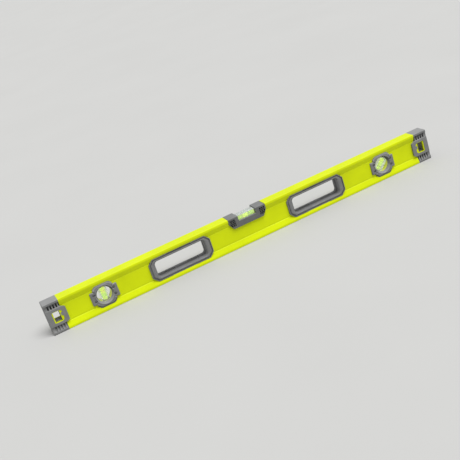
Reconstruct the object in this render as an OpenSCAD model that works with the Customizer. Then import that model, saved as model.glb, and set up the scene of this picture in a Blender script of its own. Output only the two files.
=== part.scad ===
// Box-section spirit level with two hand grips, a centre vial, a plumb vial and a 45 degree vial.
// The length runs along X, the front is -Y, and the level stands on its working face at z = 0.
// Front and back, top and bottom and the two ends are alike, so most outlines are drawn about
// the middle of the rail: "v" is the height above the rail's centre line.

/* [Rail] */
// Length over the end caps
level_l = 800; // [760:10:1200]
// Height between the two working faces
level_h = 60; // [60:1:66]
// Width of the working faces
rail_w = 26; // [26:1:30]
// Thickness across the recessed web
web_w = 18; // [17.8:0.1:18.2]
// Height of the upright edge of each working face
lip_h = 4.2; // [3.5:0.1:5]
// Wall of the extrusion
wall = 1.8; // [1.4:0.1:2]

/* [End caps] */
// Length of an end cap beyond the rail
cap_l = 28.6; // [28.4:0.1:32]
// Height of the raised panel on the cap
cap_panel_h = 32.6; // [31:0.1:33]
// How far the panel reaches over the rail's web
cap_panel_reach = 7.4; // [4:0.1:9]
// Distance between the slots above and below the panel
cap_slot_pitch = 5.1; // [5:0.1:5.4]
// Width of one slot
cap_slot_w = 2.9; // [1.5:0.1:3.2]
// Width of the hanging hole along the rail
hang_w = 12.1; // [8:0.1:12.4]
// Height of the hanging hole
hang_h = 19.4; // [14:0.2:19.6]

/* [Hand grips] */
// Distance from the middle of the level to the middle of a grip
grip_x = 142.3; // [125:0.1:160]
// Outside length of the grip's flange
grip_l = 122.5; // [118:0.5:130]
// Outside height of the grip's flange
grip_h = 44.4; // [42:0.2:46]
// Corner chamfer of the flange
grip_corner = 9.5; // [6:0.5:11]
// Length of the hand hole
hand_l = 98.4; // [90:0.2:99]
// Height of the hand hole
hand_h = 31; // [29:0.2:31]
// Number of finger ridges in each of the two groups
ridge_count = 8; // [4:1:10]

/* [Plumb and angle vials] */
// Distance from the middle of the level to each of these vials
vial_x = 293; // [280:1:300]
// Lean of the angle vial from upright
angle_lean = 45; // [30:15:60]
// Radius of the round window
window_r = 13.8; // [12:0.1:14]
// Radius of the hub that passes through the web
hub_r = 18; // [17.8:0.1:18.1]
// Width of the acrylic block across the liquid
block_w = 14.4; // [14:0.1:14.4]
// Depth of the acrylic block from front to back
block_d = 11.4; // [11:0.1:12]
// Length of the acrylic block
block_l = 31; // [30:0.1:31]
// Radius of the bore that holds the liquid
bore_r = 4.4; // [4.2:0.1:4.6]

/* [Centre vial] */
// Length of the holder along the rail
holder_l = 77.4; // [74:0.2:80]
// Length of the gap between its two towers
holder_gap = 36; // [34:0.5:38]
// Length of the centre vial's block
centre_l = 42; // [40:0.5:43]
// Depth of the centre vial's block across the rail
centre_w = 16; // [15:0.1:16]

/* [Hidden] */
$fn = 64;

// Colours
rail_yellow = [0.80, 0.86, 0.05];
core_yellow = [0.82, 0.84, 0.10];
cap_grey = [0.48, 0.48, 0.48];
holder_grey = [0.37, 0.38, 0.37];
acrylic_clear = [0.86, 0.90, 0.94, 0.45];
liquid_green = [0.70, 0.92, 0.30];
bubble_pale = [0.90, 0.97, 0.70];
plug_yellow = [0.86, 0.85, 0.45];
line_black = [0.06, 0.06, 0.06];
screw_steel = [0.30, 0.30, 0.31];

// Small gap between pieces that fit together
gap = 0.1;
past = 1;
mid_z = level_h / 2;
half_l = level_l / 2;
half_h = level_h / 2;
half_w = rail_w / 2;
half_web = web_w / 2;

// Rail section, from the outside edge to the web
edge_r = 1.2;
shoulder_foot_v = 17.6;
shoulder_foot_y = half_web + 0.5;
groove_y = half_web - 0.3;
groove_top_v = 16.9;
groove_bottom_v = 15.6;
web_flat_v = 15.2;
lip_foot_v = half_h - lip_h;
shoulder_run = half_w - shoulder_foot_y;
shoulder_rise = lip_foot_v - shoulder_foot_v;
face_wall = 3;
rib_t = 1.4;
chamber_v = groove_bottom_v + 0.8;
chamber_y = half_web - wall;
shoulder_wall = wall * norm([shoulder_run, shoulder_rise]) / shoulder_rise;

// End caps
cap_x = half_l - cap_l;
cap_panel_y = half_w - 0.5;
cap_rib_in = 1.4;
cap_rib_y = half_w - cap_rib_in;
cap_rib_v = lip_foot_v - cap_rib_in * shoulder_rise / shoulder_run;
cap_panel_v = cap_panel_h / 2;
cap_panel_bevel = 1.8;
cap_slots = 5;
cap_first_slot = cap_x + 0.6;
slot_floor_y = [6.2, 10.7];
slot_top_v = lip_foot_v - 0.2;
core_y = half_w - 1.4;
core_v = 13.5;
core_end_x = half_l - 3.5;
plug_depth = 25;
window_x = half_l - 17;
hang_x = window_x - 0.75;
bush_t = 1.2;
bush_y = 6;
window_in = 11.3;
window_out = 7.4;
window_half_h = 10.8;
window_in_r = 5.5;
window_out_r = 2;
catch_size = [3.6, 0.7, 6];
catch_v = -1;
catch_overlap = 0.4;
tongue_corner = 4;
plug_wall = 2;

// Hand grips
grip_y = half_w - 0.4;
tunnel_wall = 2;
tunnel_r = 6;
tongue_in = 0.5;
tongue_t = 0.6;
tongue_h = 1.5;
ridge_pitch = 2.8;
ridge_r = 1;
ridge_sink = 0.3;
ridge_centre_x = 24;

// Plumb and angle vial covers
cover_y = half_w - 0.6;
cover_half = [
    [11.7, 21.6], [15.2, 20.0], [18.6, 15.2], [18.6, 12.2], [25.6, 12.2]
];
sleeve_r = window_r + 1.6;
sleeve_y = block_d / 2 + 0.6;
funnel_r = 16.8;
funnel_drop = 0.5;
funnel_land = 0.5;
screw_at = [18.9, 6.2];
pocket_r = 2;
pocket_d = 1.6;
head_r = 1.8;
head_t = 1.1;
shank_r = 1.1;
free_hole_r = shank_r + 0.2;
tight_hole_r = shank_r + 0.05;
rail_hole_r = shank_r + 0.3;
socket_r = 0.9;
socket_d = 0.7;
screw_end_y = half_web + 1.6;

// Vial insides
bore_end = 4;
film = 0.55;
skin_gap = 0.05;
bubble_r = bore_r - 1;
bubble_l = 9;
bubble_tip = 2.4;
bubble_gap = 0.3;
bubble_rest = block_l / 2 - bore_end - 2 * skin_gap - film - bubble_gap - bubble_l / 2;
plug_l = bore_end - 0.3;
line_w = 0.5;
line_deep = 0.35;
line_gap = 0.02;
line_at = 5.2;

// Centre vial
holder_half = holder_l / 2;
gap_half = holder_gap / 2;
lip_v = 20;
holder_foot_v = 8.5;
holder_chamfer_v = 20;
holder_foot_x = holder_half - 7.7;
notch_v = 14;
holder_key_h = 4;
notch_foot_x = holder_half - 4;
centre_top_v = half_h - 2;
centre_foot_v = notch_v + 0.2;
centre_bore_r = 4.8;
centre_bore_v = 21.6;
centre_bore_end = 3.4;
centre_plug_l = centre_bore_end - 0.2;
centre_bubble_r = 3.4;
centre_bubble_l = 11;
centre_line_at = 6.2;

function reversed(points) = [for (i = [len(points) - 1:-1:0]) points[i]];
function flip_a(points) = [for (p = points) [-p[0], p[1]]];
function flip_b(points) = [for (p = points) [p[0], -p[1]]];
// A closed outline that is symmetric both ways, from its quarter in the first quadrant
function four_way(quarter) = concat(
    quarter,
    flip_b(reversed(quarter)),
    flip_a(flip_b(quarter)),
    flip_a(reversed(quarter))
);
function arc(centre, r, from, to, steps) = [
    for (i = [0:steps]) let (a = from + (to - from) * i / steps)
        centre + r * [cos(a), sin(a)]
];
// Outside of the extrusion, moved out sideways by grow
function rail_quarter(grow) = concat(
    [for (p = arc([half_w - edge_r, half_h - edge_r], edge_r, 90, 0, 5)) p + [grow, 0]],
    [
        [half_w + grow, lip_foot_v],
        [shoulder_foot_y + grow, shoulder_foot_v],
        [groove_y + grow, groove_top_v],
        [groove_y + grow, groove_bottom_v],
        [half_web + grow, web_flat_v]
    ]
);
function cap_quarter() = concat(
    arc([half_w - edge_r, half_h - edge_r], edge_r, 90, 0, 5),
    [
        [half_w, lip_foot_v],
        [cap_rib_y, cap_rib_v],
        [cap_rib_y, cap_panel_v],
        [cap_panel_y, cap_panel_v - cap_panel_bevel]
    ]
);
function round_rect(w, h, r) = four_way(arc([w / 2 - r, h / 2 - r], r, 90, 0, 6));
function chamfered(w, h, c) = four_way([[w / 2 - c, h / 2], [w / 2, h / 2 - c]]);

// An outline in Y and v, run along X from x0 to x1
module along_x(x0, x1) {
    translate([x0, 0, mid_z]) rotate([90, 0, 90]) linear_extrude(x1 - x0) children();
}

// An outline in X and v, run along Y from y0 to y1
module along_y(y0, y1) {
    translate([0, y1, mid_z]) rotate([90, 0, 0]) linear_extrude(y1 - y0) children();
}

module both_ways() {
    children();
    mirror([0, 1, 0]) children();
}

// ---- Rail ----

module holder_notch(spread) {
    polygon([
        [-holder_half - spread, half_h + past],
        [holder_half + spread, half_h + past],
        [holder_half + spread, holder_chamfer_v],
        [notch_foot_x + spread, notch_v - spread],
        [-notch_foot_x - spread, notch_v - spread],
        [-holder_half - spread, holder_chamfer_v]
    ]);
}

module rail_chambers() {
    square([2 * chamber_y, 2 * chamber_v], center = true);
    for (s = [-1, 1]) {
        scale([1, s]) polygon([
            [-half_w + shoulder_wall, half_h - face_wall],
            [half_w - shoulder_wall, half_h - face_wall],
            [half_w - shoulder_wall, lip_foot_v],
            [shoulder_foot_y - shoulder_wall, chamber_v + rib_t],
            [-shoulder_foot_y + shoulder_wall, chamber_v + rib_t],
            [-half_w + shoulder_wall, lip_foot_v]
        ]);
    }
}

module at_screws() {
    for (sx = [-1, 1], sv = [-1, 1]) {
        translate([sx * screw_at[0], sv * screw_at[1]]) children();
    }
}

module frame_rail() {
    color(rail_yellow) difference() {
        along_x(-cap_x, cap_x) difference() {
            polygon(four_way(rail_quarter(0)));
            rail_chambers();
        }
        along_y(-half_w - past, half_w + past) {
            for (s = [-1, 1]) {
                translate([s * grip_x, 0]) polygon(round_rect(
                    hand_l + 2 * tunnel_wall + 2 * gap,
                    hand_h + 2 * tunnel_wall + 2 * gap,
                    tunnel_r + tunnel_wall
                ));
                translate([s * vial_x, 0]) circle(hub_r + gap);
                translate([s * vial_x, 0]) at_screws() circle(rail_hole_r);
            }
            holder_notch(gap);
        }
    }
}

// ---- End caps ----

// The window in the panel, with its outer corners sharper than its inner ones
module cap_window() {
    upper = concat(
        arc([window_out - window_out_r, window_half_h - window_out_r], window_out_r, 0, 90, 4),
        arc([window_in_r - window_in, window_half_h - window_in_r], window_in_r, 90, 180, 8)
    );
    polygon(concat(upper, flip_b(reversed(upper))));
}

module cap_panel_tongue() {
    polygon([
        [cap_x + past, cap_panel_v],
        [cap_x, cap_panel_v],
        [cap_x - cap_panel_reach, cap_panel_v - tongue_corner],
        [cap_x - cap_panel_reach, -cap_panel_v + tongue_corner],
        [cap_x, -cap_panel_v],
        [cap_x + past, -cap_panel_v]
    ]);
}

module cap_slot() {
    polygon([
        [slot_floor_y[0], cap_panel_v],
        [slot_floor_y[1], slot_top_v],
        [half_w + past, slot_top_v],
        [half_w + past, cap_panel_v]
    ]);
}

module end_cap() {
    color(cap_grey) {
        difference() {
            union() {
                along_x(cap_x, half_l) polygon(four_way(cap_quarter()));
                both_ways() intersection() {
                    along_y(half_web + gap, cap_panel_y) cap_panel_tongue();
                    along_x(cap_x - cap_panel_reach, cap_x + past) polygon(four_way([
                        [0, cap_panel_v],
                        [cap_rib_y, cap_panel_v],
                        [cap_panel_y, cap_panel_v - cap_panel_bevel]
                    ]));
                }
            }
            along_x(cap_x - 3 * gap, core_end_x + gap)
                square(2 * [core_y + gap, core_v + gap], center = true);
            along_y(-half_w - past, half_w + past)
                translate([window_x, 0]) cap_window();
            for (i = [0:cap_slots - 1], sv = [-1, 1]) {
                both_ways() along_x(
                    cap_first_slot + i * cap_slot_pitch - cap_slot_w / 2,
                    cap_first_slot + i * cap_slot_pitch + cap_slot_w / 2
                ) scale([1, sv]) cap_slot();
            }
        }
        both_ways() translate([
            window_x - window_in - catch_overlap,
            core_y + gap / 2,
            mid_z + catch_v
        ]) cube(catch_size);
    }
}

module cap_core() {
    color(core_yellow) difference() {
        union() {
            along_x(cap_x + gap, core_end_x) square(2 * [core_y, core_v], center = true);
            along_x(cap_x - plug_wall, cap_x + past)
                square(2 * [chamber_y - gap, core_v], center = true);
            along_x(cap_x - plug_depth, cap_x - gap)
                square(2 * [chamber_y - gap, chamber_v - gap], center = true);
        }
        along_x(cap_x - plug_depth - past, cap_x - plug_wall)
            square(2 * [chamber_y - plug_wall, chamber_v - plug_wall], center = true);
        along_y(-half_w, half_w) hang_outline(0);
        along_y(-bush_y - gap / 2, bush_y + gap / 2) hang_outline(bush_t + gap / 2);
    }
}

module hang_outline(spread) {
    translate([hang_x, 0]) square([hang_w + 2 * spread, hang_h + 2 * spread], center = true);
}

// The rubber bush that lines the hanging hole inside the core
module hang_bush() {
    color(cap_grey) along_y(-bush_y, bush_y) difference() {
        hang_outline(bush_t);
        hang_outline(0);
    }
}

module left_end_cap() { mirror([1, 0, 0]) end_cap(); }
module right_end_cap() { end_cap(); }
module left_cap_core() { mirror([1, 0, 0]) cap_core(); }
module right_cap_core() { cap_core(); }
module left_hang_bush() { mirror([1, 0, 0]) hang_bush(); }
module right_hang_bush() { hang_bush(); }

// ---- Hand grips ----

module tunnel_outline(inset) {
    polygon(round_rect(
        hand_l + 2 * tunnel_wall - 2 * inset,
        hand_h + 2 * tunnel_wall - 2 * inset,
        tunnel_r + tunnel_wall - inset
    ));
}

module hand_hole() {
    difference() {
        tunnel_outline(tunnel_wall);
        for (s = [-1, 1], i = [0:ridge_count - 1]) {
            translate([
                s * ridge_centre_x + (i - (ridge_count - 1) / 2) * ridge_pitch,
                -hand_h / 2 - ridge_sink
            ]) circle(ridge_r, $fn = 10);
        }
    }
}

// The front half of a grip; the back half is its mirror image with a groove for its tongue
module grip_half(tongue) {
    color(cap_grey) difference() {
        union() {
            difference() {
                along_y(-grip_y, -half_web - gap / 2)
                    polygon(chamfered(grip_l, grip_h, grip_corner));
                along_x(-grip_l, grip_l) polygon(four_way(rail_quarter(gap / 2)));
            }
            along_y(-half_web - past, 0) tunnel_outline(0);
            if (tongue) along_y(-past, tongue_h) tunnel_outline(tongue_in);
        }
        along_y(-half_w - past, past) hand_hole();
        if (tongue) along_y(0, tongue_h + past) tunnel_outline(tongue_in + tongue_t);
        else along_y(-tongue_h - gap, past) difference() {
            tunnel_outline(tongue_in - gap);
            tunnel_outline(tongue_in + tongue_t + gap);
        }
    }
}

module left_grip_front() { translate([-grip_x, 0, 0]) grip_half(true); }
module left_grip_back() { translate([-grip_x, 0, 0]) mirror([0, 1, 0]) grip_half(false); }
module right_grip_front() { translate([grip_x, 0, 0]) grip_half(true); }
module right_grip_back() { translate([grip_x, 0, 0]) mirror([0, 1, 0]) grip_half(false); }

// ---- Plumb and angle vials ----

// Turns a vial that stands upright by lean about its own centre, towards +X
module leaned(lean) {
    translate([0, 0, mid_z]) rotate([0, lean, 0]) children();
}

// The front cover of a round vial window; the back cover is its mirror image
module vial_cover(lean, hole_r) {
    color(cap_grey) difference() {
        union() {
            difference() {
                along_y(-cover_y, -half_web - gap / 2) polygon(four_way(cover_half));
                along_x(-cover_half[4][0] - past, cover_half[4][0] + past)
                    polygon(four_way(rail_quarter(gap / 2)));
            }
            along_y(-half_web - past, 0) circle(hub_r);
        }
        along_y(-half_w - past, past) {
            circle(window_r);
            at_screws() circle(hole_r);
        }
        window_funnel();
        along_y(-half_w - past, -cover_y + pocket_d) at_screws() circle(pocket_r);
        along_y(-sleeve_y - gap / 2, past) circle(sleeve_r + gap / 2);
        block_space(lean);
    }
}

// The cone that opens the window towards the front
module window_funnel() {
    wide = [funnel_r, cover_y - funnel_drop];
    deep = [window_r, sleeve_y + gap / 2 + funnel_land];
    slope = (wide[0] - deep[0]) / (wide[1] - deep[1]);
    translate([0, -cover_y - past, mid_z]) rotate([-90, 0, 0])
        cylinder(r = funnel_r, h = past + funnel_drop);
    translate([0, -wide[1], mid_z]) rotate([-90, 0, 0]) cylinder(
        r1 = wide[0], r2 = deep[0] - past * slope, h = wide[1] - deep[1] + past
    );
}

module block_space(lean) {
    leaned(lean) cube([block_w + gap, block_d + gap, block_l + gap], center = true);
}

// The ring that lines both covers and clasps the vial's block
module vial_sleeve(lean) {
    color(core_yellow) difference() {
        along_y(-sleeve_y, sleeve_y) difference() {
            circle(sleeve_r);
            circle(window_r);
        }
        block_space(lean);
    }
}

// The four screws of a window, driven from the front cover into the back one
module vial_screws() {
    color(screw_steel) translate([0, 0, mid_z]) rotate([90, 0, 0]) at_screws() {
        difference() {
            translate([0, 0, cover_y - pocket_d]) cylinder(r = head_r, h = head_t);
            translate([0, 0, cover_y - pocket_d + head_t - socket_d])
                cylinder(r = socket_r, h = past, $fn = 6);
        }
        translate([0, 0, -screw_end_y])
            cylinder(r = shank_r, h = screw_end_y + cover_y - pocket_d);
    }
}

// Bore, from the plug's inner end to the closed end
module vial_bore(r, l) {
    translate([0, 0, -l / 2 - past]) cylinder(r = r, h = l - bore_end + past);
}

module ring(r_in, r_out, at, w) {
    translate([0, 0, at - w / 2]) difference() {
        cylinder(r = r_out, h = w);
        translate([0, 0, -past]) cylinder(r = r_in, h = w + 2 * past);
    }
}

// A reading line, and the groove in the bore that it fills
module line_ring(bore, at) {
    ring(bore + line_gap, bore + line_deep - line_gap, at, line_w - 2 * line_gap);
}
module line_groove(bore, at) {
    ring(bore - past, bore + line_deep, at, line_w);
}

module vial_block(lean) {
    color(acrylic_clear) leaned(lean) difference() {
        cube([block_w, block_d, block_l], center = true);
        vial_bore(bore_r, block_l);
        for (s = [-1, 1]) line_groove(bore_r, s * line_at);
    }
}

module vial_lines(lean) {
    color(line_black) leaned(lean)
        for (s = [-1, 1]) line_ring(bore_r, s * line_at);
}

module vial_plug(lean) {
    color(plug_yellow) leaned(lean) translate([0, 0, -block_l / 2])
        cylinder(r = bore_r - line_gap, h = plug_l);
}

// The liquid is a thin closed skin around the space that the bubble moves in
module liquid_skin(bore, l) {
    color(liquid_green) difference() {
        cylinder(r = bore - skin_gap, h = l - 4 * skin_gap, center = true);
        cylinder(r = bore - film, h = l - 4 * skin_gap - 2 * film, center = true);
    }
}

module vial_liquid(lean) {
    leaned(lean) liquid_skin(bore_r, block_l - 2 * bore_end);
}

// A bubble with rounded ends about the local Z axis
module bubble(r, l, tip) {
    rotate_extrude() polygon(concat(
        [[0, -l / 2]],
        [for (a = [-75:15:0]) [r * cos(a), -l / 2 + tip + tip * sin(a)]],
        [for (a = [0:15:75]) [r * cos(a), l / 2 - tip + tip * sin(a)]],
        [[0, l / 2]]
    ));
}

module vial_bubble(lean) {
    color(bubble_pale) leaned(lean) translate([0, 0, bubble_rest]) bubble(bubble_r, bubble_l, bubble_tip);
}

module plumb_vial_front_cover() { translate([-vial_x, 0, 0]) vial_cover(0, free_hole_r); }
module plumb_vial_back_cover() {
    translate([-vial_x, 0, 0]) mirror([0, 1, 0]) vial_cover(0, tight_hole_r);
}
module plumb_vial_sleeve() { translate([-vial_x, 0, 0]) vial_sleeve(0); }
module plumb_vial_block() { translate([-vial_x, 0, 0]) vial_block(0); }
module plumb_vial_liquid() { translate([-vial_x, 0, 0]) vial_liquid(0); }
module plumb_vial_bubble() { translate([-vial_x, 0, 0]) vial_bubble(0); }
module plumb_vial_plug() { translate([-vial_x, 0, 0]) vial_plug(0); }
module plumb_vial_lines() { translate([-vial_x, 0, 0]) vial_lines(0); }
module plumb_vial_screws() { translate([-vial_x, 0, 0]) vial_screws(); }

module angle_vial_front_cover() {
    translate([vial_x, 0, 0]) vial_cover(angle_lean, free_hole_r);
}
module angle_vial_back_cover() {
    translate([vial_x, 0, 0]) mirror([0, 1, 0]) vial_cover(angle_lean, tight_hole_r);
}
module angle_vial_sleeve() { translate([vial_x, 0, 0]) vial_sleeve(angle_lean); }
module angle_vial_block() { translate([vial_x, 0, 0]) vial_block(angle_lean); }
module angle_vial_liquid() { translate([vial_x, 0, 0]) vial_liquid(angle_lean); }
module angle_vial_bubble() { translate([vial_x, 0, 0]) vial_bubble(angle_lean); }
module angle_vial_plug() { translate([vial_x, 0, 0]) vial_plug(angle_lean); }
module angle_vial_lines() { translate([vial_x, 0, 0]) vial_lines(angle_lean); }
module angle_vial_screws() { translate([vial_x, 0, 0]) vial_screws(); }

// ---- Centre vial ----

module holder_plate() {
    polygon([
        [-holder_half, half_h], [holder_half, half_h],
        [holder_half, holder_chamfer_v], [holder_foot_x, holder_foot_v],
        [-holder_foot_x, holder_foot_v], [-holder_half, holder_chamfer_v]
    ]);
}

module centre_vial_holder() {
    floor_v = centre_foot_v - holder_key_h;
    color(holder_grey) difference() {
        union() {
            both_ways() along_y(half_web + gap / 2, half_w) holder_plate();
            along_y(-half_web - past, half_web + past) intersection() {
                holder_notch(0);
                holder_plate();
            }
            along_x(-notch_foot_x + past, notch_foot_x - past)
                translate([-chamber_y + gap, floor_v])
                square([2 * (chamber_y - gap), centre_foot_v + past - floor_v]);
        }
        translate([-gap_half, -half_w - past, mid_z + lip_v])
            cube([2 * gap_half, rail_w + 2 * past, half_h]);
        translate([
            -centre_l / 2 - gap / 2,
            -centre_w / 2 - gap / 2,
            mid_z + centre_foot_v - gap / 2
        ]) cube([centre_l + gap, centre_w + gap, centre_top_v - centre_foot_v + gap]);
    }
}

// Turns a piece drawn along local Z so that it lies along X in the centre vial
module in_centre_vial() {
    translate([0, 0, mid_z + centre_bore_v]) rotate([0, 90, 0]) children();
}

module centre_vial_block() {
    color(acrylic_clear) difference() {
        translate([-centre_l / 2, -centre_w / 2, mid_z + centre_foot_v])
            cube([centre_l, centre_w, centre_top_v - centre_foot_v]);
        in_centre_vial() {
            translate([0, 0, -centre_l / 2 + centre_bore_end])
                cylinder(r = centre_bore_r, h = centre_l);
            for (s = [-1, 1]) line_groove(centre_bore_r, s * centre_line_at);
        }
    }
}

module centre_vial_lines() {
    color(line_black) in_centre_vial()
        for (s = [-1, 1]) line_ring(centre_bore_r, s * centre_line_at);
}

module centre_vial_plug() {
    color(plug_yellow) in_centre_vial() translate([0, 0, centre_l / 2 - centre_plug_l])
        cylinder(r = centre_bore_r - line_gap, h = centre_plug_l);
}

module centre_vial_liquid() {
    in_centre_vial() liquid_skin(centre_bore_r, centre_l - 2 * centre_bore_end);
}

module centre_vial_bubble() {
    rise = centre_bore_r - film - centre_bubble_r - bubble_gap;
    color(bubble_pale) translate([0, 0, rise]) in_centre_vial()
        bubble(centre_bubble_r, centre_bubble_l, bubble_tip);
}

frame_rail();
left_end_cap();
right_end_cap();
left_cap_core();
right_cap_core();
left_hang_bush();
right_hang_bush();
left_grip_front();
left_grip_back();
right_grip_front();
right_grip_back();
plumb_vial_front_cover();
plumb_vial_back_cover();
plumb_vial_sleeve();
plumb_vial_block();
plumb_vial_liquid();
plumb_vial_bubble();
plumb_vial_plug();
plumb_vial_lines();
plumb_vial_screws();
angle_vial_front_cover();
angle_vial_back_cover();
angle_vial_sleeve();
angle_vial_block();
angle_vial_liquid();
angle_vial_bubble();
angle_vial_plug();
angle_vial_lines();
angle_vial_screws();
centre_vial_holder();
centre_vial_block();
centre_vial_liquid();
centre_vial_bubble();
centre_vial_plug();
centre_vial_lines();
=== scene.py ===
"""A box-section spirit level standing on a pale studio floor.

The length runs along X, the front is -Y and the floor is z = 0. Shapes are worked out in
millimetres: x along the level, y across it, and v, the height above the rail's centre line.
"""
import math

import bmesh
import bpy
from mathutils import Matrix, Vector


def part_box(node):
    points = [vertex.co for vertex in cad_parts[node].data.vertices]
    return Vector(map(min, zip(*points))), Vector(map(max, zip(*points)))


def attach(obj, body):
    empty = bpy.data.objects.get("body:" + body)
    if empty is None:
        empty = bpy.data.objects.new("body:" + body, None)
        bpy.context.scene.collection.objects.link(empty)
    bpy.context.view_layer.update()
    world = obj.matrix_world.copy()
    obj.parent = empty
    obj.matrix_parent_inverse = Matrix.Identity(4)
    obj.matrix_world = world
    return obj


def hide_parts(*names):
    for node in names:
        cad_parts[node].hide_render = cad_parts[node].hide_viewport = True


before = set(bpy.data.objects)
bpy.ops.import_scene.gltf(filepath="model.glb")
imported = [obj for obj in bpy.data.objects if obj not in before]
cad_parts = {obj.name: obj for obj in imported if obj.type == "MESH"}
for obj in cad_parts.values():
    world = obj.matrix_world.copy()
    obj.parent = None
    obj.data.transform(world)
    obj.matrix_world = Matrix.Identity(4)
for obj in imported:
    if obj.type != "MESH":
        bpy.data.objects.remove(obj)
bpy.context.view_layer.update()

MM = 0.001
LEVEL_BODY = "level"
EPS = 1e-6
SAME_POINT = 1e-4
ON_PLANE = 1e-3


def span(node):
    """Lowest and highest corner of a CAD node, in millimetres."""
    low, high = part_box(node)
    return low / MM, high / MM


RAIL_LOW, RAIL_HIGH = span("frame_rail")
MID_Z = (RAIL_LOW.z + RAIL_HIGH.z) / 2
HALF_H = (RAIL_HIGH.z - RAIL_LOW.z) / 2
HALF_W = RAIL_HIGH.y

# Rail section: half thickness of the web, and the (v, y) points of the shoulder above it
WEB_Y = 9.0
FIT_GAP = 0.06
SHOULDER = [(15.2, 9.0), (15.6, 8.7), (16.9, 8.7), (17.6, 9.5), (25.8, HALF_W)]


def rail_side(v):
    """Half thickness of the rail at height v."""
    v = abs(v)
    if v <= SHOULDER[0][0]:
        return WEB_Y
    for (v0, y0), (v1, y1) in zip(SHOULDER, SHOULDER[1:]):
        if v <= v1:
            return y0 + (y1 - y0) * (v - v0) / (v1 - v0)
    return HALF_W


def on_rail(p):
    """How far from the level's middle plane a piece lies that rests on the rail at p."""
    return rail_side(p[1]) + FIT_GAP


def side_of(node):
    """A node's middle along the level, its side (-1 front, 1 back) and how far out its face is."""
    low, high = span(node)
    front = -1 if low.y < -HALF_W / 2 else 1
    face = -low.y if front < 0 else high.y
    return (low.x + high.x) / 2, front, face


def facing(points, depth, cx, front):
    """(x, v) points as a loop in space on one side of the level, from the values side_of gives.

    depth is the distance from the level's middle plane, or a function of the point.
    """
    return [
        (cx + x, front * (depth((x, v)) if callable(depth) else depth), MID_Z + v) for x, v in points
    ]


def lerp(a, b, t):
    return a + (b - a) * t


def between(p, q, t):
    """The point a share t of the way from p to q."""
    return lerp(p[0], q[0], t), lerp(p[1], q[1], t)


def smoothstep(low, high, x):
    t = min(max((x - low) / (high - low), 0.0), 1.0)
    return t * t * (3 - 2 * t)


# ---- Outlines -------------------------------------------------------------------------------


def four_way(quarter):
    """A counterclockwise outline that is symmetric both ways, from its first quadrant."""
    back = list(reversed(quarter))
    return (
        list(quarter)
        + [(-x, v) for x, v in back]
        + [(-x, -v) for x, v in quarter]
        + [(x, -v) for x, v in back]
    )


def without_repeats(points):
    kept = []
    for p in points:
        if not kept or (Vector(p) - Vector(kept[-1])).length > SAME_POINT:
            kept.append(p)
    if (Vector(kept[0]) - Vector(kept[-1])).length <= SAME_POINT:
        kept.pop()
    return kept


def rounded(points, radius, steps=5):
    """The closed outline with each corner turned into an arc; radius is one number or one per corner."""
    out = []
    count = len(points)
    for i in range(count):
        p, before, after = Vector(points[i]), Vector(points[i - 1]), Vector(points[(i + 1) % count])
        r = radius[i] if isinstance(radius, (list, tuple)) else radius
        u, w = (before - p), (after - p)
        reach = 0.49 * min(u.length, w.length)
        u, w = u.normalized(), w.normalized()
        half = u.angle(w) / 2
        if r <= 0 or half > math.pi / 2 - 0.01:
            out.append((p.x, p.y))
            continue
        t = min(r / math.tan(half), reach)
        r = t * math.tan(half)
        c = p + (u + w).normalized() * (r / math.sin(half))
        start, end = p + u * t - c, p + w * t - c
        a0 = math.atan2(start.y, start.x)
        turn = (math.atan2(end.y, end.x) - a0 + math.pi) % (2 * math.pi) - math.pi
        for k in range(steps + 1):
            a = a0 + turn * k / steps
            out.append((c.x + r * math.cos(a), c.y + r * math.sin(a)))
    return without_repeats(out)


def dense(points, step):
    """The closed outline with points added so that none are further than step apart."""
    out = []
    for i, p in enumerate(points):
        q = points[(i + 1) % len(points)]
        parts = max(1, math.ceil(math.dist(p, q) / step))
        out += [between(p, q, k / parts) for k in range(parts)]
    return out


def blended(first, second, t):
    """The outline a share t of the way from the first one to the second, point by point."""
    return [between(p, q, t) for p, q in zip(first, second)]


def inset(points, distance):
    """The counterclockwise outline moved inwards; distance is a number or a function of the point."""
    out = []
    count = len(points)
    for i in range(count):
        p, before, after = Vector(points[i]), Vector(points[i - 1]), Vector(points[(i + 1) % count])
        e0, e1 = (p - before).normalized(), (after - p).normalized()
        n0, n1 = Vector((-e0.y, e0.x)), Vector((-e1.y, e1.x))
        d = distance(points[i]) if callable(distance) else distance
        moved = p + (n0 + n1) / max(1 + n0.dot(n1), 0.3) * d
        out.append((moved.x, moved.y))
    return out


def circle(r, steps=64, centre=(0, 0)):
    turn = 2 * math.pi / steps
    return [(centre[0] + r * math.cos(i * turn), centre[1] + r * math.sin(i * turn)) for i in range(steps)]


def corner_path(w, h, cut, r, steps):
    """Evenly spaced points round the first quadrant's corner, cut at 45 degrees and rounded by r."""
    far = 3 * r
    side, top = w / 2, h / 2
    cut_side, cut_top = (side, top - cut), (side - cut, top)
    outline = [(side, top - cut - far), cut_side, cut_top, (side - cut - far, top), (0, 0)]
    line = rounded(outline, [0, r, r, 0, 0], 8)
    line = [p for p in line if p != (0, 0)]
    start, end = (side, top - cut - r / 2), (side - cut - r / 2, top)
    line = [start] + [p for p in line if p[0] > end[0] + EPS and p[1] > start[1] + EPS] + [end]
    return spaced(line, steps)


def spaced(line, steps):
    """steps + 1 points spaced evenly along an open line."""
    lengths = [0.0]
    for a, b in zip(line, line[1:]):
        lengths.append(lengths[-1] + math.dist(a, b))
    out = []
    k = 0
    for i in range(steps + 1):
        at = lengths[-1] * i / steps
        while k < len(line) - 2 and lengths[k + 1] < at:
            k += 1
        t = (at - lengths[k]) / max(lengths[k + 1] - lengths[k], EPS)
        out.append(between(line[k], line[k + 1], t))
    return out


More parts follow.
